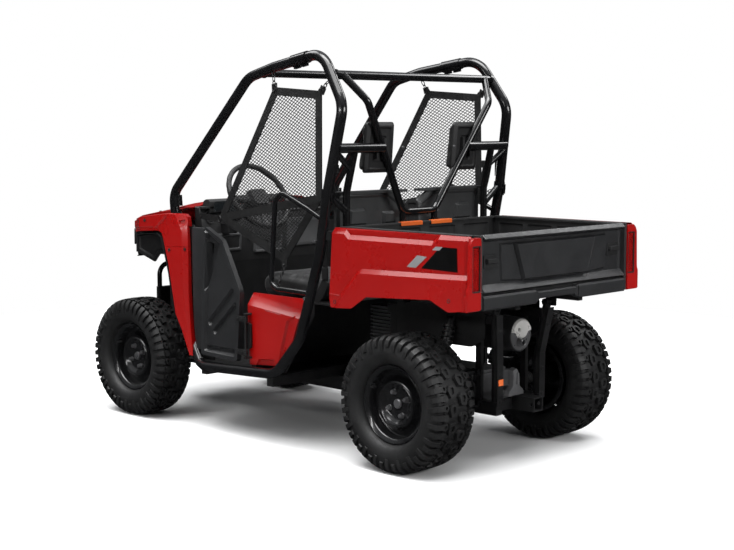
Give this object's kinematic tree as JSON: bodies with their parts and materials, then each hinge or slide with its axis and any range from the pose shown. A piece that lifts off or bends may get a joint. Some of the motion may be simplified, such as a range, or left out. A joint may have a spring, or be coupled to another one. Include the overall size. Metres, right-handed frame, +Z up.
{
  "type": "side by side utility vehicle",
  "caption": "Open two-seat off-road utility vehicle with a tube roll frame, window nets, hinged doors, steered front wheels and a tilting cargo bed with a tailgate.",
  "frame": {"origin": "on the ground under the middle of the vehicle's bounding box", "axes": "+X towards the nose, +Y to the driver's left, +Z up"},
  "size_m": [2.67, 1.27, 1.8342],
  "materials": {
    "frame_black": "gloss",
    "panel_red": "gloss",
    "panel_charcoal": "satin",
    "seat_cover": "matt grained",
    "webbing": "matt woven",
    "tyre_rubber": "matt",
    "rim_black": "gloss",
    "lamp_red": "gloss",
    "lamp_clear": "clear",
    "bare_steel": "satin",
    "cast_metal": "rough"
  },
  "bodies": {
    "chassis": {"lower_frame": "frame_black", "rear_frame": "frame_black", "front_frame": "frame_black", "front_bumper": "frame_black", "skid_plate": "panel_charcoal", "side_hoop_left": "frame_black", "side_hoop_right": "frame_black", "cab_cross_frame": "frame_black", "floor_pan": "frame_black", "seat_base": "panel_charcoal", "seat_cushion_left": "seat_cover", "seat_cushion_right": "seat_cover", "seat_back_left": "seat_cover", "seat_back_right": "seat_cover", "headrest_left": "seat_cover", "headrest_right": "seat_cover", "dash": "panel_charcoal", "steering_column": "panel_charcoal", "driver_controls": "frame_black", "hood": "panel_red", "front_fascia": "panel_charcoal", "headlamps": "lamp_clear", "fender_left": "panel_red", "fender_right": "panel_red", "side_panels": "panel_red", "net_left": "webbing", "net_right": "webbing", "front_arms": "frame_black", "rear_arms": "frame_black", "shocks": "bare_steel", "rear_carriers": "frame_black", "drive_shafts": "bare_steel", "engine_block": "cast_metal", "final_drives": "cast_metal", "muffler": "bare_steel"},
    "steering_wheel": {"steering_wheel": "panel_charcoal"},
    "steering_rack": {"steering_rack": "bare_steel"},
    "knuckle_left": {"knuckle_left": "frame_black"},
    "knuckle_right": {"knuckle_right": "frame_black"},
    "wheel_front_left": {"tyre_front_left": "tyre_rubber", "rim_front_left": "rim_black"},
    "wheel_front_right": {"tyre_front_right": "tyre_rubber", "rim_front_right": "rim_black"},
    "wheel_rear_left": {"tyre_rear_left": "tyre_rubber", "rim_rear_left": "rim_black"},
    "wheel_rear_right": {"tyre_rear_right": "tyre_rubber", "rim_rear_right": "rim_black"},
    "bed": {"bed_box": "panel_charcoal", "bed_sides": "panel_red", "tail_lamps": "lamp_red"},
    "tailgate": {"tailgate": "panel_charcoal"},
    "door_left": {"door_left": "panel_charcoal"},
    "door_right": {"door_right": "panel_charcoal"}
  },
  "joints": [
    {"name": "steer_left", "type": "hinge", "parent": "chassis", "child": "knuckle_left", "pos_m": [0.947, 0.415, 0.303], "axis": [0, 0, 1], "range_deg": [-30, 30]},
    {"name": "steer_right", "type": "hinge", "parent": "chassis", "child": "knuckle_right", "pos_m": [0.947, -0.415, 0.303], "axis": [0, 0, 1], "range_deg": [-30, 30]},
    {"name": "rack_slide", "type": "slide", "parent": "chassis", "child": "steering_rack", "axis": [0, 1, 0], "range_m": [-0.058, 0.058]},
    {"name": "steering_wheel_turn", "type": "hinge", "parent": "chassis", "child": "steering_wheel", "pos_m": [0.297, 0.29, 1.147], "axis": [-0.8387, 0, 0.5446], "range_deg": [-271, 271]},
    {"name": "roll_front_left", "type": "hinge", "parent": "knuckle_left", "child": "wheel_front_left", "pos_m": [0.947, 0.55, 0.303], "axis": [0, 1, 0], "continuous": true},
    {"name": "roll_front_right", "type": "hinge", "parent": "knuckle_right", "child": "wheel_front_right", "pos_m": [0.947, -0.55, 0.303], "axis": [0, 1, 0], "continuous": true},
    {"name": "roll_rear_left", "type": "hinge", "parent": "chassis", "child": "wheel_rear_left", "pos_m": [-0.905, 0.55, 0.303], "axis": [0, 1, 0], "continuous": true},
    {"name": "roll_rear_right", "type": "hinge", "parent": "chassis", "child": "wheel_rear_right", "pos_m": [-0.905, -0.55, 0.303], "axis": [0, 1, 0], "continuous": true},
    {"name": "bed_tilt", "type": "hinge", "parent": "chassis", "child": "bed", "pos_m": [-1.133, 0, 0.7], "axis": [0, -1, 0], "range_deg": [0, 45]},
    {"name": "tailgate_drop", "type": "hinge", "parent": "bed", "child": "tailgate", "pos_m": [-1.324, 0, 0.814], "axis": [0, -1, 0], "range_deg": [0, 90]},
    {"name": "door_swing_left", "type": "hinge", "parent": "chassis", "child": "door_left", "pos_m": [0.042, 0.606, 0.5], "axis": [0, 0, 1], "range_deg": [0, 75]},
    {"name": "door_swing_right", "type": "hinge", "parent": "chassis", "child": "door_right", "pos_m": [0.042, -0.606, 0.5], "axis": [0, 0, -1], "range_deg": [0, 75]}
  ],
  "couplings": [
    {"joint": "steer_right", "follows": "steer_left", "ratio": 1},
    {"joint": "rack_slide", "follows": "steer_left", "m_per_rad": -0.11},
    {"joint": "steering_wheel_turn", "follows": "steer_left", "ratio": 9}
  ]
}
